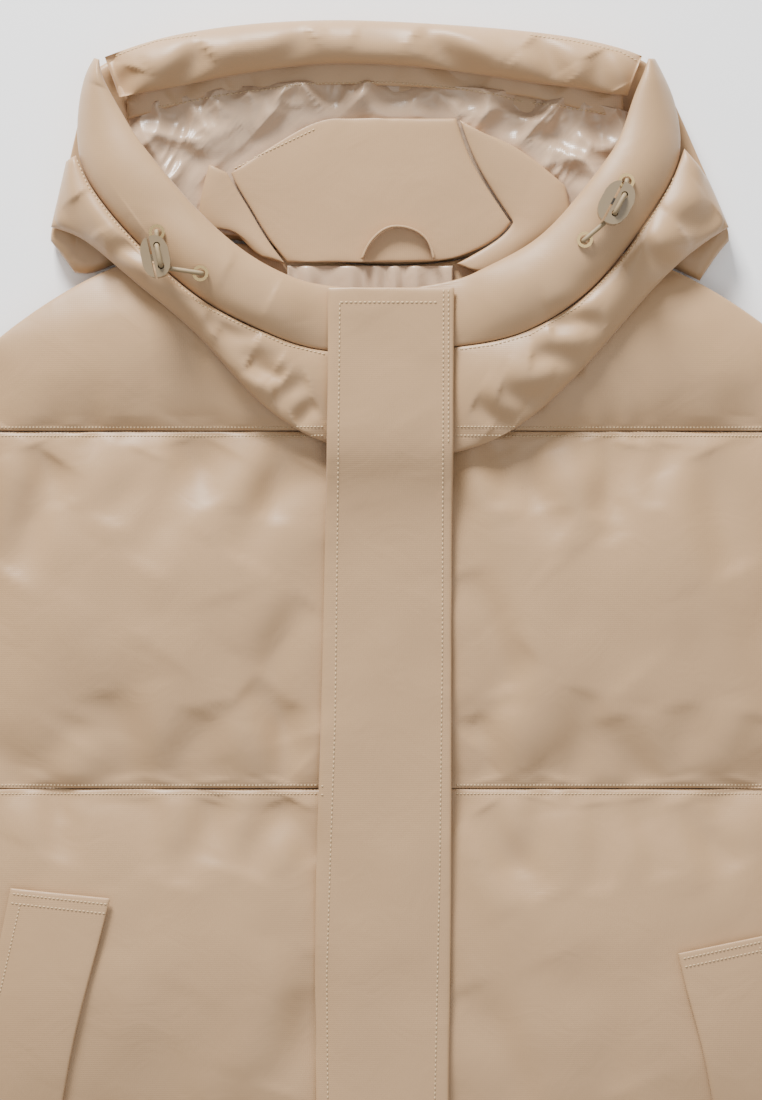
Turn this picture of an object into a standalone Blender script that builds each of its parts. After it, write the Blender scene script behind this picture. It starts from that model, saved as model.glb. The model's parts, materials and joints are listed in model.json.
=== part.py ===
"""Long hooded puffer coat, laid flat on its back with the hood spread open.

Plan sizes are millimetres in the garment's own terms: x runs from the centre front,
and v up from the back neck seam. Heights are millimetres above the surface it lies on.
The back panels lie on the surface, the fronts lie on the back, and the hood lies
open above the neck. Wearer's right is at -x.
"""
import bpy
import bmesh
import math
from mathutils import Matrix, Vector

# ---- driving sizes, mm ----
LENGTH = 1050.0            # back neck seam to hem
HOOD_TOP = 144.0           # top of the spread hood above the back neck seam
V_SHIFT = (LENGTH - HOOD_TOP) / 2   # puts the middle of the length at y = 0
SEAM = 0.2                 # each piece stands back this far from a seam, 0.4 in all
ARMHOLE_GAP = 1.5          # the sleeve stands clear of the facets of the body's side
LAYER = 0.4                # clearance between two layers of cloth
BACK_TOP = 14.0            # the level plane where the back and the fronts meet
SEAM_THICK = 5.0           # padded cloth where it is stitched through
FRONT_FILL = 12.0          # what the padding adds in the middle of a front baffle
BACK_FILL = 13.0
SLEEVE_FILL = 13.0
ROWS = (-104.0, -320.0, -536.0, -752.0)   # quilt rows, v
NECK_HALF = 92.0           # neck point from the centre
UNDERARM = (262.0, -290.0)
SHOULDER_X = 242.0
HEM_HALF = 312.0
PLACKET_HALF = 38.0

SHELL = (0.47, 0.36, 0.25)
SATIN = (0.60, 0.48, 0.41)
BRASS = (0.55, 0.43, 0.24)
PLASTIC = (0.38, 0.31, 0.21)


def clear_scene():
    for item in list(bpy.data.objects):
        bpy.data.objects.remove(item, do_unlink=True)


def place(x, v, z):
    """Garment millimetres to metres in the part's frame."""
    return Vector((x, v + V_SHIFT, z)) / 1000


def paint(obj, colour, roughness, metallic=0.0):
    finish = bpy.data.materials.new(obj.name)
    finish.use_nodes = True
    shader = finish.node_tree.nodes["Principled BSDF"]
    shader.inputs["Base Color"].default_value = (*colour, 1)
    shader.inputs["Roughness"].default_value = roughness
    shader.inputs["Metallic"].default_value = metallic
    obj.data.materials.append(finish)


def add_object(name, shape, colour, roughness=0.6, metallic=0.0):
    """Closes a bmesh into a named object with its faces pointing out."""
    bmesh.ops.recalc_face_normals(shape, faces=shape.faces)
    mesh = bpy.data.meshes.new(name)
    shape.to_mesh(mesh)
    shape.free()
    obj = bpy.data.objects.new(name, mesh)
    bpy.context.collection.objects.link(obj)
    mesh.shade_smooth()
    mesh.set_sharp_from_angle(angle=math.radians(50))
    paint(obj, colour, roughness, metallic)
    return obj


def slab(name, us, vs, plan, top, bottom, colour=SHELL, roughness=0.6):
    """A padded or plain piece of cloth: a grid of plan points with a top and an underside."""
    shape = bmesh.new()
    upper, lower = {}, {}
    for i, u in enumerate(us):
        for j, w in enumerate(vs):
            x, v = plan(u, w)
            upper[i, j] = shape.verts.new(place(x, v, top(x, v, u, w)))
            lower[i, j] = shape.verts.new(place(x, v, bottom(x, v, u, w)))
    last_i, last_j = len(us) - 1, len(vs) - 1
    for i in range(last_i):
        for j in range(last_j):
            corners = [(i, j), (i + 1, j), (i + 1, j + 1), (i, j + 1)]
            shape.faces.new([upper[c] for c in corners])
            shape.faces.new([lower[c] for c in reversed(corners)])
    rim = [(i, 0) for i in range(last_i)] + [(last_i, j) for j in range(last_j)]
    rim += [(i, last_j) for i in range(last_i, 0, -1)] + [(0, j) for j in range(last_j, 0, -1)]
    for a, b in zip(rim, rim[1:] + rim[:1]):
        shape.faces.new([upper[a], lower[a], lower[b], upper[b]])
    return add_object(name, shape, colour, roughness)


def mix(a, b, t):
    return a + (b - a) * t


def bulge(t, power=2.4):
    """0 at both ends of a baffle and 1 in its middle."""
    return 1 - abs(2 * t - 1) ** power


def steps(count, low=0.0, high=1.0):
    return [mix(low, high, i / count) for i in range(count + 1)]


def along(table, value, key, column):
    """Reads a column of a short table between its rows."""
    for a, b in zip(table, table[1:]):
        if value <= b[key] or b is table[-1]:
            return mix(a[column], b[column], (value - a[key]) / (b[key] - a[key]))


# ---- outline of the body ----
def shoulder_v(x):
    return 14 - 26 * ((abs(x) - NECK_HALF) / 94) ** 2


def back_top_v(x):
    near = min(abs(x) / NECK_HALF, 1)
    return -4 + 18 * near ** 2 if abs(x) < NECK_HALF else shoulder_v(x)


def front_top_v(x):
    near = abs(x) / NECK_HALF
    return -70 + 84 * near ** 2.2 if near < 1 else shoulder_v(x)


def side_x(v):
    """Armhole above the underarm, side seam below it."""
    if v < UNDERARM[1]:
        return mix(UNDERARM[0], HEM_HALF, (UNDERARM[1] - v) / (LENGTH + UNDERARM[1]))
    if v < -150:
        return 238 + (UNDERARM[0] - 238) * ((-150 - v) / 140) ** 2
    return 238 + 4 * ((v + 150) / 100) ** 2


def baffle_span(v):
    """The rows below and above a place, the top one running out past the shoulder."""
    levels = (60.0,) + ROWS + (-LENGTH,)
    for above, below in zip(levels, levels[1:]):
        if v >= below - 1e-6:
            return below, above
    return levels[-2:][::-1]


def row_fill(x, v, top_v):
    below, above = baffle_span(v)
    above = min(above, top_v(x))
    return bulge(min(max((v - below) / (above - below), 0), 1))


def side_fill(x, v):
    inset = min(max((side_x(v) - abs(x)) / 60, 0), 1)
    return 1 - (1 - inset) ** 2


def front_top(x, v):
    """Height of the fronts' outer face; flat and thinner under the placket."""
    past = min(max((abs(x) - PLACKET_HALF) / 50, 0), 1)
    centre = mix(0.38, 1, past * past * (3 - 2 * past))
    fill = row_fill(x, v, front_top_v) * side_fill(x, v) * centre
    return BACK_TOP + LAYER + SEAM_THICK + FRONT_FILL * fill


def back_bottom(x, v):
    fill = row_fill(x, v, back_top_v) * side_fill(x, v)
    return max(BACK_TOP - SEAM_THICK - BACK_FILL * fill, 0)


BAFFLES = ("yoke", "chest", "waist", "hip", "hem")
ROW_STEPS = (0, 0.12, 0.36, 0.64, 0.88, 1)


def body_panels():
    levels = (None,) + ROWS + (-LENGTH,)
    half = (0.003, 0.13, 0.22, 0.36, 0.55, 0.76, 0.92, 1)
    full = [-u for u in reversed(half[1:])] + [0] + list(half[1:])
    for name, above, below in zip(BAFFLES, levels, levels[1:]):
        def panel_plan(top_v):
            def plan(u, w):
                low = below + (SEAM if below > -LENGTH else 0)
                x = u * (SHOULDER_X - SEAM)
                high = top_v(x) - SEAM if above is None else above - SEAM
                v = mix(low, high, w)
                if above is None and abs(u) < 0.95:
                    return x, v
                return u * (side_x(v) - SEAM), v
            return plan

        for side, sign in (("right", -1), ("left", 1)):
            slab(
                f"front_{side}_{name}", [sign * u for u in half], ROW_STEPS, panel_plan(front_top_v),
                top=lambda x, v, u, w: front_top(x, v),
                bottom=lambda x, v, u, w: BACK_TOP + LAYER,
            )
        slab(
            f"back_{name}", full, ROW_STEPS, panel_plan(back_top_v),
            top=lambda x, v, u, w: BACK_TOP,
            bottom=lambda x, v, u, w: back_bottom(x, v),
        )


# ---- sleeves: a patch between the armhole, the cuff and the two long edges ----
CUFF_OUTER = (508.0, -594.0)
CUFF_INNER = (373.0, -623.0)
SLEEVE_BEND = ((388.0, -179.0), (470.0, -330.0))      # pulls of the outer edge
SLEEVE_STEPS = (0, 0.1, 0.25, 0.38, 0.44, 0.5, 0.6, 0.7, 0.76, 0.82, 0.92, 1)
SLEEVE_ROWS = (-0.25, 0.44, 0.76, 1.02)                # places of its quilt rows


def sleeve_plan(s, t):
    """s from armhole to cuff, t from the underarm side to the shoulder side."""
    start_v = shoulder_v(SHOULDER_X)
    armhole_v = mix(UNDERARM[1], start_v, t)
    armhole = Vector((side_x(armhole_v) + ARMHOLE_GAP, armhole_v))
    cuff = Vector(CUFF_INNER).lerp(Vector(CUFF_OUTER), t)
    inner_start = Vector((UNDERARM[0] + ARMHOLE_GAP, UNDERARM[1]))
    outer_start = Vector((SHOULDER_X + ARMHOLE_GAP, start_v))
    inner = inner_start.lerp(Vector(CUFF_INNER), s)
    a, b = (Vector(p) for p in SLEEVE_BEND)
    r = 1 - s
    outer = r ** 3 * outer_start + 3 * r * r * s * a + 3 * r * s * s * b + s ** 3 * Vector(CUFF_OUTER)
    corners = (inner_start.lerp(outer_start, t)).lerp(cuff, s)
    return inner.lerp(outer, t) + armhole.lerp(cuff, s) - corners


def sleeve_fill(s, t):
    for low, high in zip(SLEEVE_ROWS, SLEEVE_ROWS[1:]):
        if s <= high:
            return bulge((s - low) / (high - low)) * bulge(t, 2.2)
    return 0.0


def sleeves():
    across = (0, 0.12, 0.35, 0.65, 0.88, 1)
    for side, sign in (("right", -1), ("left", 1)):
        def plan(s, t):
            point = sleeve_plan(s, t)
            return sign * point.x, point.y

        slab(
            f"sleeve_{side}_top", SLEEVE_STEPS, across, plan,
            top=lambda x, v, s, t: BACK_TOP + LAYER + SEAM_THICK + SLEEVE_FILL * sleeve_fill(s, t),
            bottom=lambda x, v, s, t: BACK_TOP + LAYER,
        )
        slab(
            f"sleeve_{side}_under", SLEEVE_STEPS, across, plan,
            top=lambda x, v, s, t: BACK_TOP,
            bottom=lambda x, v, s, t: max(BACK_TOP - SEAM_THICK - SLEEVE_FILL * sleeve_fill(s, t), 0),
        )


# ---- hood: a row for each rib, from the placket round to the top corner ----
# edge is the opening, seam the channel stitch, outer the roll's lower edge; the side
# panel stops where its outer edge is None, and the rim band then folds at its seam_x.
RIB_COLUMNS = (
    "edge_x", "edge_v", "seam_x", "seam_v", "outer_x", "outer_v", "edge_z", "seam_z", "outer_z", "crown",
)
HOOD_RIBS = {
    "right": (
        (1, -20, 1, -59, 1, -121, 30, 31, 28, 2.5),
        (41, -17, 42, -56.5, 41, -112, 31, 32, 28, 3),
        (56, -13, 62, -51, 63, -100, 36, 37, 30, 7),
        (72, -6, 85, -41, 88, -80, 39, 40, 31, 9),
        (89, 4, 112, -28, 116, -44, 41, 41, 34, 9),
        (113, 25, 143, -1, 156, -14, 42, 40, 30, 9),
        (136, 52, 167, 25, 184, 13, 42, 37, 26, 9),
        (150, 69, 181, 44, 205, 19, 40, 32, 18, 9),
        (158, 82, 189, 62, 196, 58, 37, 26, 17, 8),
        (166, 96, 189, 90, None, None, 35, 22, None, 8),
        (173.5, 110, 184.5, 111, None, None, 34, 24, None, 6),
        (174.5, 119, 178.5, 120.5, None, None, 31, 24, None, 3),
    ),
    "left": (
        (1, -20, 1, -58, 1, -123, 30, 31, 28, 2.5),
        (41, -14, 42, -53.5, 42, -118, 31, 32, 28, 3),
        (53, -8, 62, -51, 66, -109, 36, 37, 30, 7),
        (70, 0, 84, -45, 90, -94, 39, 40, 31, 9),
        (88, 10, 113, -28, 124, -60, 41, 41, 34, 9),
        (105, 27, 137, -3, 157, -19, 42, 40, 30, 9),
        (122, 49, 156, 24, 184, 6, 42, 37, 26, 9),
        (134, 64, 170, 46, 205, 19, 40, 32, 18, 9),
        (141, 80, 177, 66, 193, 48, 37, 26, 17, 8),
        (146, 98, 173, 94, None, None, 35, 22, None, 8),
        (152, 110, 166, 109, None, None, 34, 24, None, 6),
        (155, 119.5, 160, 120, None, None, 31, 24, None, 3),
    ),
}
HOOD_EDGE = 5.0            # thickness of the hood where it is stitched or folded
HOOD_LENS = 6.0            # how far its padding hangs below its seams
CENTRE_TOP = 10.0          # the crown of the hood, lying under everything
SILHOUETTE = {             # lower and upper outline of the hood, by distance from the centre
    "right": ((168, 125.5, -99), (181, 115, -99), (188, 94, -12), (191, 76, -8), (200, 33, 4), (205.5, 19, 11)),
    "left": ((155, 123.5, -99), (163, 115.5, -99), (174, 93, -99), (188, 60, -13), (199, 36, 4), (205.5, 18, 11)),
}
TOP_RIM_ROWS = (           # fold_x, fold_v, edge_x, edge_v: from the right corner to the left
    (-163, 97, -172, 121.5), (-138, 101, -140, 133.5), (-94, 110.5, -94, 141), (-47, 117.5, -47, 144),
    (-7, 117, -7, 143.5), (43, 113, 43, 140.5), (78, 106, 80, 137.5), (110, 103, 112, 133.5),
    (136, 98, 140, 127), (143, 98, 152, 122),
)


def rib(side, station):
    rows = HOOD_RIBS[side]
    return dict(zip(RIB_COLUMNS, rows[round(station)]))


def band(t, crown):
    return crown * (4 * t * (1 - t)) ** 0.8


def under_limit(x, v):
    """The lowest a hood panel may reach over the body, the shoulders and the crown."""
    inside = abs(x) < SHOULDER_X and v < front_top_v(x) + 6
    return front_top(x, min(v, front_top_v(x))) + 2.4 if inside else CENTRE_TOP + 4.7


def hood_band(side, sign, name, inner, outer, stations, across):
    def plan(s, t):
        row = rib(side, s)
        lift = SEAM / math.hypot(row[outer + "_x"] - row[inner + "_x"], row[outer + "_v"] - row[inner + "_v"])
        t = mix(lift, 1 - lift, t)
        x = mix(row[inner + "_x"], row[outer + "_x"], t)
        return sign * x, mix(row[inner + "_v"], row[outer + "_v"], t)

    def chord(s, t):
        row = rib(side, s)
        return mix(row[inner + "_z"], row[outer + "_z"], t)

    def bottom(x, v, s, t):
        lens = min(HOOD_LENS, rib(side, s)["crown"])
        return max(chord(s, t) - HOOD_EDGE / 2 - band(t, lens), under_limit(x, v))

    def top(x, v, s, t):
        own = chord(s, t) + HOOD_EDGE / 2 + band(t, rib(side, s)["crown"])
        return max(own, bottom(x, v, s, t) + HOOD_EDGE)

    slab(f"{name}_{side}", stations, across, plan, top, bottom)


def silhouette(x, column):
    """Upper (1) or lower (2) outline of the hood at x."""
    side = "right" if x < 0 else "left"
    table = SILHOUETTE[side]
    if abs(x) <= table[0][0]:
        return top_rim_v(x) if column == 1 else back_top_v(x)
    value = along(table, abs(x), 0, column)
    if column == 2:
        value = max(value, back_top_v(x)) if abs(x) < 186 else value
    return value


def top_rim_v(x):
    return along(TOP_RIM_ROWS, x, 2, 3)


def hood():
    across = (0, 0.12, 0.32, 0.56, 0.8, 1)
    for side, sign in (("right", -1), ("left", 1)):
        hood_band(side, sign, "hood_rim", "edge", "seam", range(12), across)
        hood_band(side, sign, "hood_side", "seam", "outer", range(9), (0, 0.2, 0.5, 0.8, 1))

    slab(
        "hood_rim_top", range(len(TOP_RIM_ROWS)), (0, 0.15, 0.45, 0.8, 1),
        plan=lambda s, t: (
            mix(TOP_RIM_ROWS[s][0], TOP_RIM_ROWS[s][2], t), mix(TOP_RIM_ROWS[s][1], TOP_RIM_ROWS[s][3], t)
        ),
        top=lambda x, v, s, t: mix(28, 26.5, t) + band(t, 10 - 5 * (s in (0, len(TOP_RIM_ROWS) - 1))),
        bottom=lambda x, v, s, t: mix(23.5, 21.5, t) - band(t, 2),
    )
    columns = [-205.5, -200, -191, -181, -168, -150, -125, -92, -60, -30, 0, 30, 60, 92, 125, 148, 155]
    columns += [163, 174, 188, 199, 205.5]

    def centre_top(x, v, u, w):
        rise = max(1 - (silhouette(x, 1) - v) / 28, 0)
        top_edge = 10.9 * rise ** 2 if abs(x) < 150 else 4 * rise ** 2
        return CENTRE_TOP + top_edge + 4 * min(max((abs(x) - 165) / 20, 0), 1) * (1 - rise ** 2)

    slab(
        "hood_centre", columns, (0, 0.1, 0.4, 0.75, 0.9, 1),
        plan=lambda x, w: (x, mix(silhouette(x, 2) + 2 * SEAM, silhouette(x, 1) - 1, w)),
        top=centre_top,
        bottom=lambda x, v, u, w: 0 if 0 < w < 1 and abs(x) < 205 else 2.5,
    )
    lining = steps(12, -158, 144)
    slab(
        "hood_lining", lining, (0, 0.3, 0.6, 0.85, 1),
        plan=lambda x, w: (x, mix(back_top_v(x) + 3, top_rim_v(x) - 36, w)),
        top=lambda x, v, u, w: CENTRE_TOP + LAYER + 3,
        bottom=lambda x, v, u, w: CENTRE_TOP + LAYER,
        colour=SATIN, roughness=0.35,
    )
    slab(
        "hood_facing", steps(10, -159, 141), (0, 1),
        plan=lambda x, w: (x, mix(top_rim_v(x) - 42, top_rim_v(x) - 24, w) + (4 if abs(x) < 100 else 0)),
        top=lambda x, v, u, w: mix(16.6, 20.2, w),
        bottom=lambda x, v, u, w: mix(13.9, 17.2, w),
    )


# ---- inner stand collar, neck lining and hanger loop ----
COLLAR_ROWS = (            # left and right limits of the collar's face, from the neck up
    (-62, -2, 38, -2), (-75, 14, 66, 12), (-83, 29, 73, 22), (-92, 43, 62, 38), (-96, 52, 48, 60), (-46, 85, 40, 85),
)
WING_ROWS = {              # inner_x, inner_v, outer_x, outer_v from the neck to the tip
    "right": ((-63, -3, -80, 2), (-76, 14, -94, 17), (-84, 29, -116, 20), (-93, 43, -115, 36), (-98, 52, -109, 57)),
    "left": ((40, -3, 62, -12), (67.5, 12, 84, 8), (74.5, 22, 110, 24), (63.5, 38, 106, 44), (50, 60, 78, 68),
             (42, 84, 54, 77)),
}
COLLAR_BOTTOM = 14.4
COLLAR_TOP = 19.0
LOOP_ARCH = ((-17, -0.5), (-14.5, 6), (-11, 11.5), (-4, 18), (4, 20), (14, 18), (21, 13.5), (25, 7), (26.5, -0.5))
LOOP_TAPE = (1.6, 6.0)     # the tape's thickness, and its width standing on edge


def collar():
    def between(rows, gap):
        def plan(s, t):
            left_x, left_v, right_x, right_v = rows[s]
            return mix(left_x, right_x, t) + gap, mix(left_v, right_v, t)
        return plan

    slab(
        "collar_back", range(len(COLLAR_ROWS)), steps(6), between(COLLAR_ROWS, 0),
        top=lambda x, v, s, t: COLLAR_TOP + 1.2 * bulge(t),
        bottom=lambda x, v, s, t: COLLAR_BOTTOM,
    )
    for side, rows in WING_ROWS.items():
        slab(
            f"collar_wing_{side}", range(len(rows)), (0, 0.4, 0.8, 1),
            between(rows, -SEAM if side == "right" else SEAM),
            top=lambda x, v, s, t: COLLAR_TOP + 3.5 * bulge(t * 0.8 + 0.1),
            bottom=lambda x, v, s, t: COLLAR_BOTTOM,
        )
    slab(
        "neck_lining", steps(10, -62, 38), (0, 0.5, 1),
        plan=lambda x, w: (x, mix(front_top_v(x) + 12, -4, w)),
        top=lambda x, v, u, w: BACK_TOP + LAYER + 3,
        bottom=lambda x, v, u, w: BACK_TOP + LAYER,
        colour=SATIN, roughness=0.35,
    )

    def loop_plan(s, t):
        x, v = LOOP_ARCH[s]
        before, after = LOOP_ARCH[max(s - 1, 0)], LOOP_ARCH[min(s + 1, len(LOOP_ARCH) - 1)]
        run = Vector((after[0] - before[0], after[1] - before[1])).normalized()
        return x + run.y * LOOP_TAPE[0] * (t - 0.5), v - run.x * LOOP_TAPE[0] * (t - 0.5)

    slab(
        "hanger_loop", range(len(LOOP_ARCH)), (0, 1), loop_plan,
        top=lambda x, v, s, t: COLLAR_TOP + 1.6 + LOOP_TAPE[1],
        bottom=lambda x, v, s, t: COLLAR_TOP + 1.6,
    )


# ---- storm placket and pocket welts ----
PLACKET_ROWS = (           # v, left_x, right_x, underside z
    (-18.6, -37.5, 38.5, 37.7), (-60, -37, 38, 37.9), (-110, -38, 38, 37.5), (-124, -38, 38, 34),
    (-150, -38.5, 37.5, 25.2), (-212, -40, 37, 25.0), (-300, -42, 37, 25.0), (-400, -46, 37, 25.0),
    (-520, -44, 35, 25.0), (-660, -43, 35, 25.0), (-800, -42, 36, 25.0), (-925, -42, 36, 25.0), (-1049, -42, 36, 25.0),
)
PLACKET_THICK = 4.4
WELT_ROWS = {              # inner_x, inner_v, outer_x, outer_v from the top down
    "right": ((-168, -385, -228, -379), (-178, -424, -237, -424), (-190, -470, -247, -470), (-200, -524, -256, -520)),
    "left": ((173, -418, 226, -407), (177, -436, 232, -430), (188, -476, 244, -472), (198, -526, 255, -520)),
}
WELT_THICK = 3.2


def placket_and_welts():
    slab(
        "placket", range(len(PLACKET_ROWS)), steps(4),
        plan=lambda s, t: (mix(PLACKET_ROWS[s][1], PLACKET_ROWS[s][2], t), PLACKET_ROWS[s][0]),
        top=lambda x, v, s, t: PLACKET_ROWS[s][3] + PLACKET_THICK + 0.8 * bulge(t),
        bottom=lambda x, v, s, t: PLACKET_ROWS[s][3],
    )
    for side, rows in WELT_ROWS.items():
        slab(
            f"pocket_welt_{side}", steps(6), steps(3),
            plan=lambda s, t: (
                mix(along_rows(rows, s, 0), along_rows(rows, s, 2), t),
                mix(along_rows(rows, s, 1), along_rows(rows, s, 3), t),
            ),
            top=lambda x, v, s, t: front_top(x, v) + 0.8 + WELT_THICK,
            bottom=lambda x, v, s, t: front_top(x, v) + 0.8,
        )


def along_rows(rows, s, column):
    place_in = s * (len(rows) - 1)
    i = min(int(place_in), len(rows) - 2)
    return mix(rows[i][column], rows[i + 1][column], place_in - i)


# ---- draw cord, eyelets and locks ----
EYELET_RADIUS = (3.0, 4.85)
EYELET_HEIGHT = 1.0
CORD = 2.8
LOCK_HOLE = 4.0
HOLE_OFFSET = -2.2         # the holes lie this far to the barrel's side of the middle
LOCK_THICK = 12.0
PLUNGER_TRAVEL = 1.0
STEM = (4.2, 3.4, 0.35)    # the plunger's stem: width, height and its clearance in the barrel
HARDWARE = {   # lock centre, half length, half width, turn; holes apart; height of its underside
    "right": dict(centre=(-139, -2), half=(12.5, 8.6), turn=102, holes=12.5, base=58.2, seat=1.5,
                  eyelets=((-139, 13.5), (-113, -11))),
    "left": dict(centre=(134, 30), half=(13.3, 9.6), turn=62, holes=12.5, base=57.8, seat=0.5,
                 eyelets=((116, 9), (141, 44))),
}


def rim_top_z(side, x, v):
    """Height of the faceted rim band over a plan point, from its nearest ribs."""
    best = None
    for s in range(11):
        for k in range(21):
            t = k / 20
            for f in (0.0, 0.25, 0.5, 0.75):
                a, b = rib(side, s), rib(side, s + 1)
                px = mix(mix(a["edge_x"], a["seam_x"], t), mix(b["edge_x"], b["seam_x"], t), f)
                pv = mix(mix(a["edge_v"], a["seam_v"], t), mix(b["edge_v"], b["seam_v"], t), f)
                away = math.hypot(px - abs(x), pv - v)
                if best is None or away < best[0]:
                    za = mix(a["edge_z"], a["seam_z"], t) + band(t, a["crown"])
                    zb = mix(b["edge_z"], b["seam_z"], t) + band(t, b["crown"])
                    best = (away, mix(za, zb, f) + HOOD_EDGE / 2)
    return best[1]


def outline_prism(outline, low, high):
    """A closed prism over plan points given in millimetres about the origin."""
    shape = bmesh.new()
    base = [shape.verts.new((x / 1000, y / 1000, low / 1000)) for x, y in outline]
    cap = [shape.verts.new((x / 1000, y / 1000, high / 1000)) for x, y in outline]
    shape.faces.new(base[::-1])
    shape.faces.new(cap)
    for i in range(len(base)):
        k = (i + 1) % len(base)
        shape.faces.new([base[i], base[k], cap[k], cap[i]])
    return shape


def hole_outline(x, y, radius, count=14):
    angles = [2 * math.pi * i / count for i in range(count)]
    return [(x + radius * math.cos(a), y + radius * math.sin(a)) for a in angles]


def carve(obj, outline, low, high, name, operation="DIFFERENCE"):
    cutter = add_object(name, outline_prism(outline, low, high), PLASTIC)
    cutter.matrix_world = obj.matrix_world
    cutter.hide_render = True
    cutter.display_type = "WIRE"
    tool = obj.modifiers.new(name, "BOOLEAN")
    tool.object = cutter
    tool.operation = operation


def bean_half_width(half, y):
    return half[0] * (1 - (abs(y) / half[1]) ** 2.4) ** (1 / 2.4)


def bean_outline(half, low, high, count=7):
    """The part of a lock's oval between two levels across it."""
    levels = steps(count, low, high)
    right = [(bean_half_width(half, y), y) for y in levels]
    return right + [(-x, y) for x, y in reversed(right) if x > 0.5]


def cord_lock(side, data):
    """A barrel with two cord holes, and a sprung plunger pressed into its side."""
    turn = Matrix.Rotation(math.radians(data["turn"]), 4, "Z")
    seat = Matrix.Translation(place(*data["centre"], data["base"])) @ turn
    half, split = data["half"], 1.4
    barrel = add_object(
        f"lock_barrel_{side}", outline_prism(bean_outline(half, -0.97 * half[1], split), 0, LOCK_THICK), PLASTIC, 0.3
    )
    lid_low = split + PLUNGER_TRAVEL + 0.4
    lid = outline_prism(bean_outline(half, lid_low, 0.97 * half[1]), 0.8, LOCK_THICK - 0.8)
    stem = add_object(f"lock_plunger_{side}", lid, PLASTIC, 0.3)
    barrel.matrix_world = seat
    stem.matrix_world = seat
    for k in (-1, 1):
        hole = hole_outline(k * data["holes"] / 2, HOLE_OFFSET, LOCK_HOLE / 2)
        carve(barrel, hole, -1, LOCK_THICK + 1, f"hole_{side}_{k}")
    pocket, key = STEM[0] / 2 + STEM[2], STEM[0] / 2
    well = [(-pocket, -2.2), (pocket, -2.2), (pocket, 3), (-pocket, 3)]
    peg = [(-key, 0.7), (key, 0.7), (key, lid_low + 1), (-key, lid_low + 1)]
    middle = LOCK_THICK / 2
    carve(barrel, well, middle - STEM[1] / 2 - STEM[2], middle + STEM[1] / 2 + STEM[2], f"well_{side}")
    carve(stem, peg, middle - STEM[1] / 2, middle + STEM[1] / 2, f"stem_{side}", "UNION")
    return [seat @ Vector((k * data["holes"] / 2000, HOLE_OFFSET / 1000, 0)) for k in (-1, 1)]


def smooth_route(points, per_span=3):
    """A smooth curve through the route's own points."""
    route = []
    ends = [points[0]] + points + [points[-1]]
    for a, b, c, d in zip(ends, ends[1:], ends[2:], ends[3:]):
        for k in range(per_span):
            t = k / per_span
            route.append(0.5 * (2 * b + (c - a) * t + (2 * a - 5 * b + 4 * c - d) * t * t
                                + (3 * b - a - 3 * c + d) * t ** 3))
    return route + [points[-1]]


def tube(name, route, diameter):
    curve = bpy.data.curves.new(name, "CURVE")
    curve.dimensions = "3D"
    curve.bevel_depth = diameter / 2000
    curve.bevel_resolution = 2
    curve.use_fill_caps = True
    spline = curve.splines.new("POLY")
    spline.points.add(len(route) - 1)
    for target, point in zip(spline.points, route):
        target.co = (*point, 1)
    obj = bpy.data.objects.new(name, curve)
    bpy.context.collection.objects.link(obj)
    paint(obj, PLASTIC, 0.7)


def eyelet(name, x, v, z, count=16):
    shape = bmesh.new()
    rings = []
    for radius, height in ((0, 0), (1, 0), (1, 1), (0, 1)):
        size = EYELET_RADIUS[radius]
        angles = [2 * math.pi * i / count for i in range(count)]
        rings.append([
            shape.verts.new(place(x + size * math.cos(a), v + size * math.sin(a), z + height * EYELET_HEIGHT))
            for a in angles
        ])
    for a, b in zip(rings, rings[1:] + rings[:1]):
        for i in range(count):
            k = (i + 1) % count
            shape.faces.new([a[i], a[k], b[k], b[i]])
    add_object(name, shape, BRASS, 0.35, 1.0)


def hardware():
    for side, data in HARDWARE.items():
        holes = cord_lock(side, data)
        floor = [rim_top_z(side, *spot) + data["seat"] for spot in data["eyelets"]]
        for label, spot, z in zip("ab", data["eyelets"], floor):
            eyelet(f"eyelet_{side}_{label}", *spot, z)
        under, over = data["base"] - 1.9, data["base"] + LOCK_THICK + 2.0
        first, last = (place(*spot, z + 0.1) for spot, z in zip(data["eyelets"], floor))
        near, far = holes if (holes[0] - first).length < (holes[1] - first).length else holes[::-1]
        rise = Vector((0, 0, 0.0032))

        def at(hole, z):
            return Vector((hole.x, hole.y, z / 1000))

        route = [first, first + rise, at(near.lerp(first + rise, 0.35), under), at(near, under + 1.5)]
        route += [at(near, over - 3), at(near.lerp(far, 0.2), over), at(near.lerp(far, 0.8), over), at(far, over - 3)]
        route += [at(far, under + 1.5), at(far.lerp(last + rise, 0.35), under), last + rise, last]
        tube(f"draw_cord_{side}", smooth_route(route), CORD)


clear_scene()
body_panels()
sleeves()
hood()
collar()
placket_and_welts()
hardware()
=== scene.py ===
"""Looks of a long hooded puffer coat, laid flat on its back with the hood spread open."""
import json
import math
import bmesh
import bpy
import numpy as np
from mathutils import Matrix, Vector
from mathutils.bvhtree import BVHTree


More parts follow.
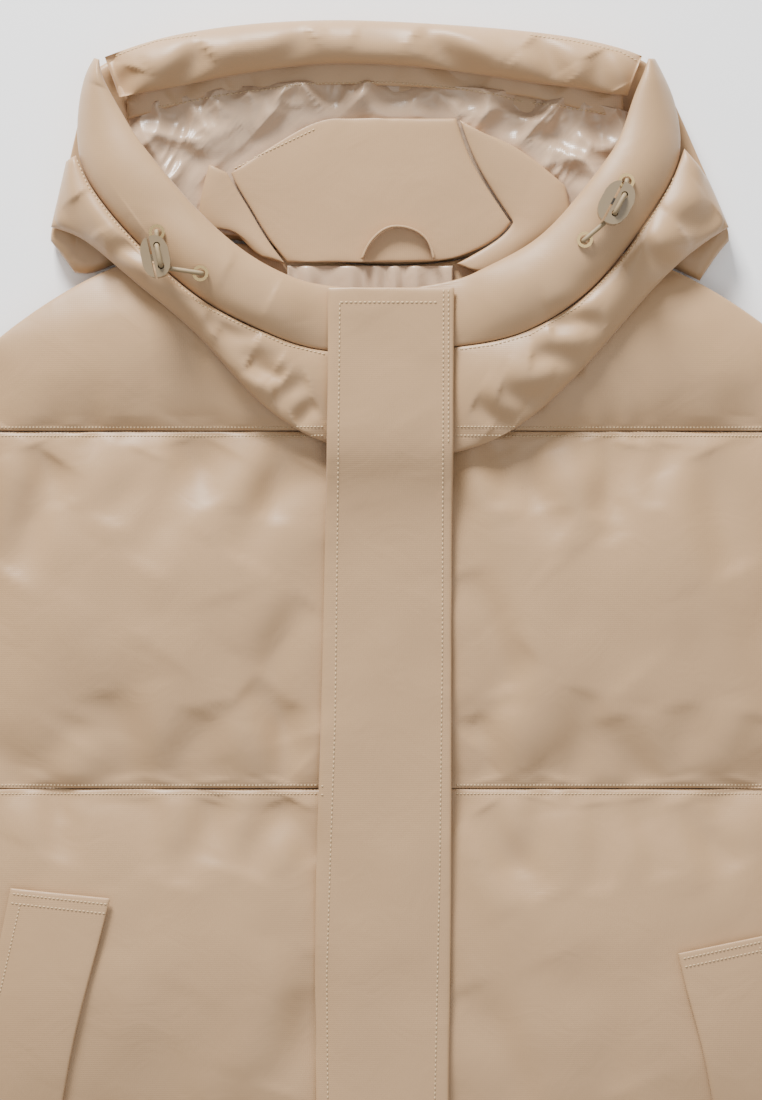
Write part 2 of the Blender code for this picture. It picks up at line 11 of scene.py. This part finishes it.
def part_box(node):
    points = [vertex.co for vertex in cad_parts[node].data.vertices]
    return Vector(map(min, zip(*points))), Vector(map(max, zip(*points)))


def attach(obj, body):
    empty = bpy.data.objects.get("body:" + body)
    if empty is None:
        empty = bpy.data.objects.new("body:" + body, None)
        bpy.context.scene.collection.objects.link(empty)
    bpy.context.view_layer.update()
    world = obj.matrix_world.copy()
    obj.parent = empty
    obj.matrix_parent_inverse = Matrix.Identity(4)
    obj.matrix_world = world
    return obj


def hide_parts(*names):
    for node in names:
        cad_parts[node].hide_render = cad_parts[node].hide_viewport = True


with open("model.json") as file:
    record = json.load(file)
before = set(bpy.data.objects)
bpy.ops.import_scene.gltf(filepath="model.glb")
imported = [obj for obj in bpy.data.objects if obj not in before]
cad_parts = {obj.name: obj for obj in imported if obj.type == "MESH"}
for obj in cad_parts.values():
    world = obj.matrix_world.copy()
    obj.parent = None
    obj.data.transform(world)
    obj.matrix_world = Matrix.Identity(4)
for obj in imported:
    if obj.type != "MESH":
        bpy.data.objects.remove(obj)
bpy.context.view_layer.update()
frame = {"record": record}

# ---- view, floor and light: a camera straight above the hood, the main light low beyond it ----
V_SHIFT = 0.453            # y of the back neck seam, metres


def spot(x, v, z=0.0):
    """Garment millimetres, from the centre front and up from the back neck seam, to metres."""
    return Vector((x / 1000, v / 1000 + V_SHIFT, z / 1000))


VIEW_HEIGHT = 2.5          # from the coat's face to the camera, metres
VIEW_SPAN = 0.660          # height that the view takes in at that face, metres
FACE_HEIGHT = 0.035
camera = bpy.data.objects.new("camera", bpy.data.cameras.new("camera"))
bpy.context.collection.objects.link(camera)
camera.location = spot(-5.4, -175.8) + Vector((0, 0, VIEW_HEIGHT + FACE_HEIGHT))
camera.data.lens = camera.data.sensor_width * VIEW_HEIGHT / VIEW_SPAN
bpy.context.scene.camera = camera

floor_mesh = bpy.data.meshes.new("floor")
floor_mesh.from_pydata([(-6, -6, 0), (6, -6, 0), (6, 6, 0), (-6, 6, 0)], [], [(0, 1, 2, 3)])
floor = bpy.data.objects.new("floor", floor_mesh)
bpy.context.collection.objects.link(floor)
floor_paint = bpy.data.materials.new("floor")
floor_paint.use_nodes = True
floor_shader = floor_paint.node_tree.nodes["Principled BSDF"]
floor_shader.inputs["Base Color"].default_value = (0.97, 0.97, 0.97, 1)
floor_shader.inputs["Roughness"].default_value = 0.9
floor_mesh.materials.append(floor_paint)


def soft_light(name, place, aim, size, power):
    light = bpy.data.objects.new(name, bpy.data.lights.new(name, "AREA"))
    bpy.context.collection.objects.link(light)
    light.data.size = size
    light.data.energy = power
    light.location = place
    light.rotation_euler = (Vector(aim) - Vector(place)).to_track_quat("-Z", "Y").to_euler()


soft_light("key", (-0.7, 2.7, 1.25), (0, 0.2, 0), 0.8, 210)
soft_light("fill", (0.5, -0.4, 2.8), (0, 0.1, 0), 2.4, 24)
world = bpy.data.worlds.new("studio")
bpy.context.scene.world = world
world.use_nodes = True
world.node_tree.nodes["Background"].inputs["Color"].default_value = (0.95, 0.97, 1.0, 1)
world.node_tree.nodes["Background"].inputs["Strength"].default_value = 0.60

# ---- outer cloth: a close technical weave with a low sheen, all of one colour ----
SHELL = (0.42, 0.256, 0.128)


def weave_group():
    """Fine crossed threads, faint cloudiness and small soft puckers; used by both cloths."""
    group = bpy.data.node_groups.new("weave", "ShaderNodeTree")
    for name, kind in (("Colour", "NodeSocketColor"), ("Threads", "NodeSocketFloat"),
                       ("Cloud", "NodeSocketFloat"), ("Crumple", "NodeSocketFloat")):
        group.interface.new_socket(name, in_out="INPUT", socket_type=kind)
    for name, kind in (("Colour", "NodeSocketColor"), ("Normal", "NodeSocketVector")):
        group.interface.new_socket(name, in_out="OUTPUT", socket_type=kind)
    add, link = group.nodes.new, group.links.new
    given, out = add("NodeGroupInput"), add("NodeGroupOutput")
    where = add("ShaderNodeTexCoord")
    heights = []
    for axis in ("X", "Y"):
        wave = add("ShaderNodeTexWave")
        wave.bands_direction = axis
        wave.inputs["Scale"].default_value = 260
        link(where.outputs["Object"], wave.inputs["Vector"])
        heights.append(wave.outputs["Fac"])
    cross = add("ShaderNodeMath")
    cross.operation = "MULTIPLY"
    link(heights[0], cross.inputs[0])
    link(heights[1], cross.inputs[1])
    cloud = add("ShaderNodeTexNoise")
    cloud.inputs["Scale"].default_value = 9
    cloud.inputs["Detail"].default_value = 4
    link(where.outputs["Object"], cloud.inputs["Vector"])
    shade = add("ShaderNodeMix")
    shade.data_type = "RGBA"
    shade.blend_type = "OVERLAY"
    link(given.outputs["Cloud"], shade.inputs["Factor"])
    link(given.outputs["Colour"], shade.inputs[6])
    link(cloud.outputs["Fac"], shade.inputs[7])
    folds = add("ShaderNodeTexNoise")
    folds.inputs["Scale"].default_value = 34
    folds.inputs["Detail"].default_value = 2
    folds.inputs["Distortion"].default_value = 1.2
    link(where.outputs["Object"], folds.inputs["Vector"])
    crumple = add("ShaderNodeBump")
    crumple.inputs["Distance"].default_value = 0.004
    link(given.outputs["Crumple"], crumple.inputs["Strength"])
    link(folds.outputs["Fac"], crumple.inputs["Height"])
    threads = add("ShaderNodeBump")
    threads.inputs["Distance"].default_value = 0.0002
    link(given.outputs["Threads"], threads.inputs["Strength"])
    link(cross.outputs[0], threads.inputs["Height"])
    link(crumple.outputs["Normal"], threads.inputs["Normal"])
    link(shade.outputs[2], out.inputs["Colour"])
    link(threads.outputs["Normal"], out.inputs["Normal"])
    return group


weave = weave_group()


def cloth_material(name, colour, roughness, sheen, threads, cloud, crumple):
    finish = bpy.data.materials.new(name)
    finish.use_nodes = True
    nodes, links = finish.node_tree.nodes, finish.node_tree.links
    shader = nodes["Principled BSDF"]
    shader.inputs["Roughness"].default_value = roughness
    shader.inputs["Sheen Weight"].default_value = sheen
    effect = nodes.new("ShaderNodeGroup")
    effect.node_tree = weave
    effect.inputs["Colour"].default_value = (*colour, 1)
    effect.inputs["Threads"].default_value = threads
    effect.inputs["Cloud"].default_value = cloud
    effect.inputs["Crumple"].default_value = crumple
    links.new(effect.outputs["Colour"], shader.inputs["Base Color"])
    links.new(effect.outputs["Normal"], shader.inputs["Normal"])
    return finish


shell_cloth = cloth_material("shell_cloth", SHELL, 0.46, 0.12, 0.22, 0.10, 0.10)
satin = cloth_material("satin_lining", (0.47, 0.32, 0.205), 0.3, 0.1, 0.15, 0.12, 0.3)

# ---- padded panels: each is cut, filled and quilted, so its edges round in at the seams ----
ROWS = (-104.0, -320.0, -536.0, -752.0)
# Creases pulled into the cloth: two ends, width and depth, mm; a minus depth is a ridge.
CREASES = (
    (-50, 138, -98, 105, 7, 5), (-40, 139, -84, 110, 7, -3), (-108, 122, -136, 101, 6, 4.5),
    (-154, 114, -161, 97, 5, 4), (15, 133, 60, 109, 7, 4.5), (26, 137, 74, 112, 7, -2.5),
    (83, 129, 108, 106, 6, 4.5), (122, 122, 134, 100, 6, 3.5), (-20, 137, 8, 126, 9, 2),
    (-110, -36, -78, -48, 4.5, 4), (-103, -45, -68, -66, 5, 3.5), (-84, -62, -64, -74, 4, 4),
    (-70, -84, -48, -78, 5, 3), (-58, -97, -44, -90, 4, 3), (128, -38, 96, -46, 5, 4),
    (116, -64, 84, -62, 5, 3.5), (94, -86, 66, -78, 5, 3), (76, -100, 50, -88, 4.5, 3),
    (-170, 2, -146, 2, 5, 4), (-192, 34, -178, 12, 6, 4), (176, -6, 150, 4, 5, 4), (196, 30, 176, 14, 6, 4),
    (-150, 20, -128, 36, 12, 1.5), (-98, -10, -70, -24, 10, 1.5), (-54, -122, -86, -184, 9, 3),
    (-104, -112, -146, -186, 10, 3), (-196, -124, -236, -186, 9, 4.5), (-150, -116, -168, -160, 8, 2.5),
    (52, -114, 110, -160, 9, 3), (84, -112, 96, -150, 7, 2.5), (184, -120, 214, -186, 10, 3),
    (140, -112, 132, -158, 8, 2.5), (-46, -210, -78, -250, 8, 2.5), (44, -190, 66, -262, 9, 3),
    (42, -285, 88, -240, 8, 2.5), (-48, -300, -90, -262, 8, 2.5), (-130, -316, -118, -272, 8, 2.5),
    (150, -318, 138, -276, 8, 2.5), (-60, -326, -84, -372, 8, 3), (-112, -326, -126, -378, 8, 2.5),
    (60, -330, 92, -384, 8, 3), (120, -330, 130, -380, 8, 2.5), (-18, -40, 14, -96, 14, 1),
    (-24, -150, -6, -230, 12, 0.9), (12, -260, -10, -350, 12, 0.9), (180, -326, 206, -370, 8, 2.5),
    (-190, -322, -206, -360, 8, 2.5), (-250, -300, -190, -330, 10, 3), (250, -300, 190, -330, 10, 3),
    (-60, -110, -70, -158, 7, 2.4), (-126, -110, -112, -150, 7, 2), (-214, -112, -200, -150, 7, 2.2),
    (68, -110, 64, -150, 7, 2.2), (120, -110, 136, -170, 8, 2.4), (166, -112, 160, -150, 7, 2),
    (-70, -314, -54, -270, 7, 2.2), (-100, -314, -104, -268, 8, 2), (-160, -314, -172, -262, 9, 2.4),
    (-206, -314, -190, -276, 8, 2), (60, -314, 52, -276, 7, 2), (104, -314, 120, -262, 9, 2.4),
    (178, -314, 172, -270, 8, 2), (214, -314, 222, -276, 8, 2), (-64, -326, -50, -366, 7, 2),
    (-96, -326, -110, -364, 8, 2), (-150, -326, -142, -370, 8, 2), (88, -326, 78, -372, 8, 2),
    (150, -326, 160, -374, 8, 2), (-44, -420, -70, -500, 10, 2.4), (44, -440, 74, -520, 10, 2.4),
    (-120, -440, -160, -520, 16, 1.6), (100, -420, 140, -500, 16, 1.6), (-90, -200, -60, -290, 20, 2),
    (96, -190, 150, -250, 20, 2), (-150, -230, -190, -290, 20, 1.8), (-30, -36, -20, -100, 10, 0.9),
    (20, -60, 26, -130, 9, 0.8), (-34, -170, -26, -250, 10, 1.1), (24, -190, 18, -290, 10, 1.0),
    (-40, -330, -30, -400, 10, 1.1), (26, -350, 30, -440, 10, 1), (-46, -440, -36, -520, 10, 1.1),
    (-4, -420, 8, -520, 12, 0.9), (-270, -200, -330, -260, 12, 4), (270, -200, 330, -260, 12, 4),
    (-300, -130, -350, -240, 12, 3), (300, -130, 350, -240, 12, 3), (-380, -330, -330, -360, 10, 3),
    (380, -330, 330, -360, 10, 3), (-430, -430, -370, -450, 10, 3), (430, -430, 370, -450, 10, 3),
)


def crease_depth(x, v):
    total = np.zeros_like(x)
    for x0, v0, x1, v1, width, depth in CREASES:
        run = np.array((x1 - x0, v1 - v0), float)
        length = np.hypot(*run)
        along = ((x - x0) * run[0] + (v - v0) * run[1]) / length ** 2
        across = ((x - x0) * run[1] - (v - v0) * run[0]) / length
        across = across + 0.10 * length * np.sin(3.0 * along + x0)
        taper = np.clip(1 - (2 * along - 1) ** 2, 0, None) ** 0.5
        width = 1.5 * width
        groove = np.exp(-(across / width) ** 2)
        ridge = np.exp(-((across - 1.8 * width) / (1.3 * width)) ** 2)
        total += 0.8 * depth * taper * (groove - 0.4 * ridge)
    return total


def waves(x, v, length, seed):
    """A smooth uneven ripple between -1 and 1."""
    total = np.zeros_like(x)
    for k in range(5):
        angle = seed * 1.7 + k * 2.4
        scale = 2 * math.pi / (length * (0.7 + 0.17 * k))
        total += np.sin((x * math.cos(angle) + v * math.sin(angle)) * scale + seed * 3.1 + k * 1.3)
    return total / 5


def pucker(x, v):
    """Small gathers that stand square to the quilt rows and die out away from them."""
    total = np.zeros_like(x)
    for k, row in enumerate(ROWS):
        away = np.abs(v - row)
        short = np.sin(x / 3.6 + 2.2 * np.sin(x / 23 + k)) * (0.55 + 0.45 * np.sin(x / 17 + 2 * k))
        slow = np.sin(x / 8.5 + 1.8 * np.sin(x / 41 + 2 * k) + 0.012 * (v - row))
        tall = slow * (0.6 + 0.4 * np.sin(x / 29 + k))
        near_row = short * np.exp(-away / 9) * np.clip(away / 4, 0.1, 1)
        total += near_row + 1.5 * tall * np.exp(-away / 34) * np.clip(away / 9, 0, 1)
    return total


def crumple(x, v):
    """Sharp-crested random folds of thin satin, calm where the stand collar lies on it."""
    total = np.zeros_like(x)
    for k, (length, height) in enumerate(((70, 4.6), (38, 2.6), (20, 0.9))):
        bend = waves(x, v, length * 2.3, 5.0 + k) * 9
        total += height * (1 - 2.6 * np.abs(waves(x + bend, v - bend, length, 9.0 + k)))
    calm = ((x + 10) / 112) ** 2 + ((v - 36) / 56) ** 2
    return total * np.clip((calm - 0.72) * 2.2, 0.0, 1) + 1.5 * np.clip((calm - 0.8) * 2, 0, 1)


def finer(node, levels):
    """A finer copy of a piece, rounded at its stitched edges, with its corners kept."""
    shape = bmesh.new()
    shape.from_mesh(bpy.data.objects[node].data)
    bmesh.ops.remove_doubles(shape, verts=shape.verts, dist=1e-6)
    bmesh.ops.join_triangles(
        shape, faces=shape.faces, angle_face_threshold=0.9, angle_shape_threshold=3.1, cmp_seam=False,
    )
    bmesh.ops.recalc_face_normals(shape, faces=shape.faces)
    crease = shape.edges.layers.float.new("crease_edge")
    for edge in shape.edges:
        flat_sides = all(abs(f.normal.z) < 0.3 for f in edge.link_faces)
        if flat_sides and edge.calc_face_angle(0) > 0.6:
            edge[crease] = 1.0
        elif edge.calc_face_angle(0) > 0.9:
            edge[crease] = 0.35
    mesh = bpy.data.meshes.new(node + "_cloth")
    shape.to_mesh(mesh)
    shape.free()
    piece = bpy.data.objects.new(node + "_cloth", mesh)
    bpy.context.collection.objects.link(piece)
    fine = piece.modifiers.new("fine", "SUBSURF")
    fine.levels = fine.render_levels = levels
    bpy.context.view_layer.update()
    ready = bpy.data.meshes.new_from_object(piece.evaluated_get(bpy.context.evaluated_depsgraph_get()))
    piece.modifiers.clear()
    piece.data = ready
    ready.shade_smooth()
    return piece


def dress(node, levels, material, ripple, creases=1.0, gathers=0.0):
    piece = finer(node, levels)
    mesh = piece.data
    flat = np.empty(len(mesh.vertices) * 3)
    normal = np.empty(len(mesh.vertices) * 3)
    mesh.vertices.foreach_get("co", flat)
    mesh.vertices.foreach_get("normal", normal)
    points, up = flat.reshape(-1, 3), np.clip(normal.reshape(-1, 3)[:, 2], 0, 1)
    x, v = points[:, 0] * 1000, (points[:, 1] - V_SHIFT) * 1000
    lift = ripple * (waves(x, v, 95, 1.0) + 0.5 * waves(x, v, 41, 2.0))
    lift = lift - 1.5 * creases * crease_depth(x, v) + gathers * pucker(x, v)
    if "hood_lining" in node:
        lift = crumple(x, v)
    if node == "neck_lining":
        lift = 1.6 * np.sin(x / 2.6 + 2 * np.sin(x / 11)) + 0.6
    if node == "hood_rim_top":
        lift = lift - 9 * np.clip((np.abs(x + 5) - 138) / 24, 0, 1) ** 2
    points[:, 2] += up * lift / 1000
    points[:, 2] = np.maximum(points[:, 2], 0.0003)
    mesh.vertices.foreach_set("co", points.ravel())
    mesh.update()
    mesh.materials.clear()
    mesh.materials.append(material)
    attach(piece, "coat")
    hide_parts(node)
    return piece


surfaces = []
all_nodes = [row["node"] for row in frame["record"]["subparts"]]
for node in all_nodes:
    if node.startswith(("front_", "back_", "sleeve_")):
        seen = node.startswith("front_") and node.endswith(("yoke", "chest", "waist"))
        under = node.startswith("back_") or node.endswith("_under")
        levels = 4 if seen else 2 if under else 3
        ripple, gathers = (0.2, 0.2) if under else (1.1, 1.15)
        piece = dress(node, levels, shell_cloth, ripple, gathers=gathers)
        surfaces.append(piece)

# ---- hood: padded rim with its draw-cord channel, side panels and crown ----
for node in all_nodes:
    if node.startswith("hood_") and node not in ("hood_lining", "hood_facing"):
        piece = dress(node, 4 if node != "hood_centre" else 2, shell_cloth, 0.9)
        surfaces.append(piece)


# ---- thin cloth: satin lining, facing strip, stand collar, loop, placket and welts ----
for node, material, slot, ripple in (
    ("hood_lining", satin, "satin_lining", 2.4), ("neck_lining", satin, "satin_lining", 1.4),
    ("hood_facing", shell_cloth, "shell_cloth", 0.6), ("collar_back", shell_cloth, "shell_cloth", 0.5),
    ("collar_wing_right", shell_cloth, "shell_cloth", 0.8),
    ("collar_wing_left", shell_cloth, "shell_cloth", 0.8),
    ("hanger_loop", shell_cloth, "shell_cloth", 0.0), ("placket", shell_cloth, "shell_cloth", 0.45),
    ("pocket_welt_right", shell_cloth, "shell_cloth", 0.4),
    ("pocket_welt_left", shell_cloth, "shell_cloth", 0.4),
):
    piece = dress(node, 4 if "lining" not in node else 5, material, ripple, creases=0.6)
    surfaces.append(piece)

# ---- stitches: two-needle rows on the quilting, single rows on the placket, rim and welts ----
trees = []
for piece in surfaces:
    corners = [vertex.co for vertex in piece.data.vertices]
    trees.append(BVHTree.FromPolygons(corners, [face.vertices for face in piece.data.polygons]))


def skin_z(x, v):
    """Height of the outermost cloth over a place, metres."""
    start = spot(x, v, 200)
    hits = [tree.ray_cast(start, Vector((0, 0, -1)))[0] for tree in trees]
    found = [hit.z for hit in hits if hit]
    return max(found) if found else None


thread = bpy.data.materials.new("thread")
thread.use_nodes = True
thread_shader = thread.node_tree.nodes["Principled BSDF"]
thread_shader.inputs["Roughness"].default_value = 0.6
thread_tint = thread.node_tree.nodes.new("ShaderNodeTexNoise")
thread_tint.inputs["Scale"].default_value = 600
thread_ramp = thread.node_tree.nodes.new("ShaderNodeValToRGB")
thread_ramp.color_ramp.elements[0].color = (0.42, 0.29, 0.155, 1)
thread_ramp.color_ramp.elements[1].color = (0.62, 0.45, 0.26, 1)
thread.node_tree.links.new(thread_tint.outputs["Fac"], thread_ramp.inputs["Fac"])
thread.node_tree.links.new(thread_ramp.outputs["Color"], thread_shader.inputs["Base Color"])


def stitch_row(shape, line, pitch, length=0.74, size=0.5):
    """Lays small rounded stitches along a line of garment points."""
    carry = 0.0
    for (x0, v0), (x1, v1) in zip(line, line[1:]):
        span = math.hypot(x1 - x0, v1 - v0)
        if span == 0:
            continue
        ux, uv = (x1 - x0) / span, (v1 - v0) / span
        at = carry
        while at < span:
            x, v = x0 + ux * at, v0 + uv * at
            z0, z1 = skin_z(x, v), skin_z(x + ux * pitch * length, v + uv * pitch * length)
            if z0 and z1 and abs(z0 - z1) < 0.004:
                rings = []
                for along, grow, rise in ((0, 0.45, -0.2), (0.25, 1, 0.15), (0.75, 1, 0.15), (1, 0.45, -0.2)):
                    d = pitch * length * along
                    height = z0 + (z1 - z0) * along + rise * size / 1000
                    base = spot(x + ux * d, v + uv * d) + Vector((0, 0, height))
                    side = Vector((-uv, ux, 0)) * size * grow / 1000
                    up = Vector((0, 0, size * grow / 1000))
                    around = (side, up, -side, -up)
                    rings.append([shape.verts.new(base + reach) for reach in around])
                for a, b in zip(rings, rings[1:]):
                    for i in range(4):
                        shape.faces.new([a[i], a[(i + 1) % 4], b[(i + 1) % 4], b[i]])
                shape.faces.new(rings[0][::-1])
                shape.faces.new(rings[-1])
            at += pitch
        carry = at - span


NEEDLES = (-3.0, 2.2)      # the two needle rows of a quilting seam, mm up from it
STITCH_LINES = {
    "stitches_quilt": (2.1, [
        [(sign * across, row + offset) for across in (40, 120, 200, 238)]
        for row in ROWS for offset in NEEDLES for sign in (-1, 1)
    ]),
    "stitches_placket": (2.8, [
        [(-30, -28), (-31, -120), (-33, -278), (-36, -365), (-38, -430), (-37, -560), (-36, -1044)],
        [(32, -20), (31.5, -240), (30, -365), (27, -505), (28, -1044)],
        [(-30, -27.6), (26, -27.6)],
        [(35, -20), (35, -110)],
    ]),
    "stitches_rim": (2.6, [
        [(-39, -58.5), (-62, -53), (-85, -43), (-112, -30), (-143, -3), (-167, 23), (-181, 42), (-188, 58)],
        [(42, -55.5), (62, -53), (84, -47), (113, -30), (137, -5), (156, 22), (169, 44), (175, 62)],
        [(-166, 122), (-140, 130.5), (-118, 133.5)], [(84, 134), (112, 130), (138, 124), (148, 119)],
        [(-94, 55), (-77, 63.5), (-46, 78)],
        [(-140, 92), (-95, 100), (-47, 106), (0, 107), (43, 103), (80, 96), (130, 88)],
    ]),
    "stitches_welts": (2.4, [
        [(-170, -388.5), (-225, -382.5)], [(-171, -394), (-226, -388)],
        [(-222, -388), (-231, -428), (-241, -470), (-249, -516)],
        [(176, -421), (223, -411)], [(177, -426), (224, -416)], [(222, -414), (238, -474), (248, -516)],
    ]),
}
for name, (pitch, lines) in STITCH_LINES.items():
    shape = bmesh.new()
    for line in lines:
        stitch_row(shape, line, pitch)
    mesh = bpy.data.meshes.new(name)
    shape.to_mesh(mesh)
    shape.free()
    mesh.shade_smooth()
    mesh.materials.append(thread)
    rows = bpy.data.objects.new(name, mesh)
    bpy.context.collection.objects.link(rows)
    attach(rows, "coat")

# ---- draw cord: braided elastic from eyelet to eyelet through a two-hole lock ----
CORD = 0.0028
LOCK_TURN = {"right": 102, "left": 62}
HOLES_APART = 0.0125
HOLE_OFFSET = 0.0022       # holes sit this far off the lock's middle line, clear of the plunger
EYELET_RISE = 0.0032       # cord stands up this far out of an eyelet
BELOW_LOCK, ABOVE_LOCK = 0.0019, 0.0020
END_LIFT = 0.0001
EDGE_ROUND = {"barrel": 0.0022, "plunger": 0.0016}


def hardware_finish(name, colour, roughness, metallic, grain):
    finish = bpy.data.materials.new(name)
    finish.use_nodes = True
    nodes, links = finish.node_tree.nodes, finish.node_tree.links
    shader = nodes["Principled BSDF"]
    shader.inputs["Metallic"].default_value = metallic
    noise = nodes.new("ShaderNodeTexNoise")
    noise.inputs["Scale"].default_value = grain
    ramp = nodes.new("ShaderNodeValToRGB")
    ramp.color_ramp.elements[0].color = (*[c * 0.82 for c in colour], 1)
    ramp.color_ramp.elements[1].color = (*[min(c * 1.15, 1) for c in colour], 1)
    rough = nodes.new("ShaderNodeMapRange")
    rough.inputs["To Min"].default_value = roughness - 0.06
    rough.inputs["To Max"].default_value = roughness + 0.08
    links.new(noise.outputs["Fac"], ramp.inputs["Fac"])
    links.new(ramp.outputs["Color"], shader.inputs["Base Color"])
    links.new(noise.outputs["Fac"], rough.inputs["Value"])
    links.new(rough.outputs["Result"], shader.inputs["Roughness"])
    return finish


plastic = hardware_finish("lock_plastic", (0.22, 0.16, 0.09), 0.2, 0.0, 120)
brass = hardware_finish("eyelet_brass", (0.66, 0.47, 0.22), 0.25, 1.0, 300)
braid = hardware_finish("draw_cord", (0.26, 0.185, 0.095), 0.6, 0.0, 900)


def smooth_route(points, per_span=6):
    route = []
    ends = [points[0]] + points + [points[-1]]
    for a, b, c, d in zip(ends, ends[1:], ends[2:], ends[3:]):
        for k in range(per_span):
            t = k / per_span
            route.append(0.5 * (2 * b + (c - a) * t + (2 * a - 5 * b + 4 * c - d) * t * t
                                + (3 * b - a - 3 * c + d) * t ** 3))
    return route + [points[-1]]


def middle(node):
    low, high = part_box(node)
    return (Vector(low) + Vector(high)) / 2


LOCK_CENTRES = {"right": spot(-139, -2), "left": spot(134, 30)}
for side, turn in LOCK_TURN.items():
    base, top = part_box(f"lock_barrel_{side}")[0][2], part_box(f"lock_barrel_{side}")[1][2]
    spin = Matrix.Rotation(math.radians(turn), 4, "Z")
    holes = [LOCK_CENTRES[side] + spin @ Vector((k * HOLES_APART / 2, -HOLE_OFFSET, 0)) for k in (-1, 1)]
    ends = []
    for label in "ab":
        centre = middle(f"eyelet_{side}_{label}")
        ends.append(Vector((centre.x, centre.y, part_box(f"eyelet_{side}_{label}")[0][2] + END_LIFT)))
    first, last = ends
    near, far = holes if (holes[0] - first).length < (holes[1] - first).length else holes[::-1]
    rise = Vector((0, 0, EYELET_RISE))

    def at(point, z):
        return Vector((point.x, point.y, z))

    under, over = base - BELOW_LOCK, top + ABOVE_LOCK
    route = [first, first + rise, at(near.lerp(first + rise, 0.35), under), at(near, under + 0.0015)]
    route += [at(near, over - 0.003), at(near.lerp(far, 0.2), over)]
    route += [at(near.lerp(far, 0.8), over), at(far, over - 0.003)]
    route += [at(far, under + 0.0015), at(far.lerp(last + rise, 0.35), under), last + rise, last]
    line = smooth_route(route)
    curve = bpy.data.curves.new(f"braided_cord_{side}", "CURVE")
    curve.dimensions = "3D"
    curve.bevel_depth = CORD / 2
    curve.bevel_resolution = 4
    curve.use_fill_caps = True
    spline = curve.splines.new("POLY")
    spline.points.add(len(line) - 1)
    for target, point in zip(spline.points, line):
        target.co = (*point, 1)
    curve.materials.append(braid)
    cord = bpy.data.objects.new(f"braided_cord_{side}", curve)
    bpy.context.collection.objects.link(cord)
    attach(cord, "coat")
    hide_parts(f"draw_cord_{side}")
    for node, body in ((f"lock_barrel_{side}", "coat"), (f"lock_plunger_{side}", f"plunger_{side}")):
        shell = bpy.data.objects.new(f"{node}_shell", bpy.data.objects[node].data.copy())
        bpy.context.collection.objects.link(shell)
        shell.data.materials.clear()
        shell.data.materials.append(plastic)
        soften = shell.modifiers.new("soften", "BEVEL")
        soften.width = EDGE_ROUND[node.split("_")[1]]
        soften.segments = 5
        soften.angle_limit = math.radians(50)
        shell.data.shade_smooth()
        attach(shell, body)
        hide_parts(node)
    for label in "ab":
        ring = bpy.data.objects[f"eyelet_{side}_{label}"]
        ring.data.materials.clear()
        ring.data.materials.append(brass)
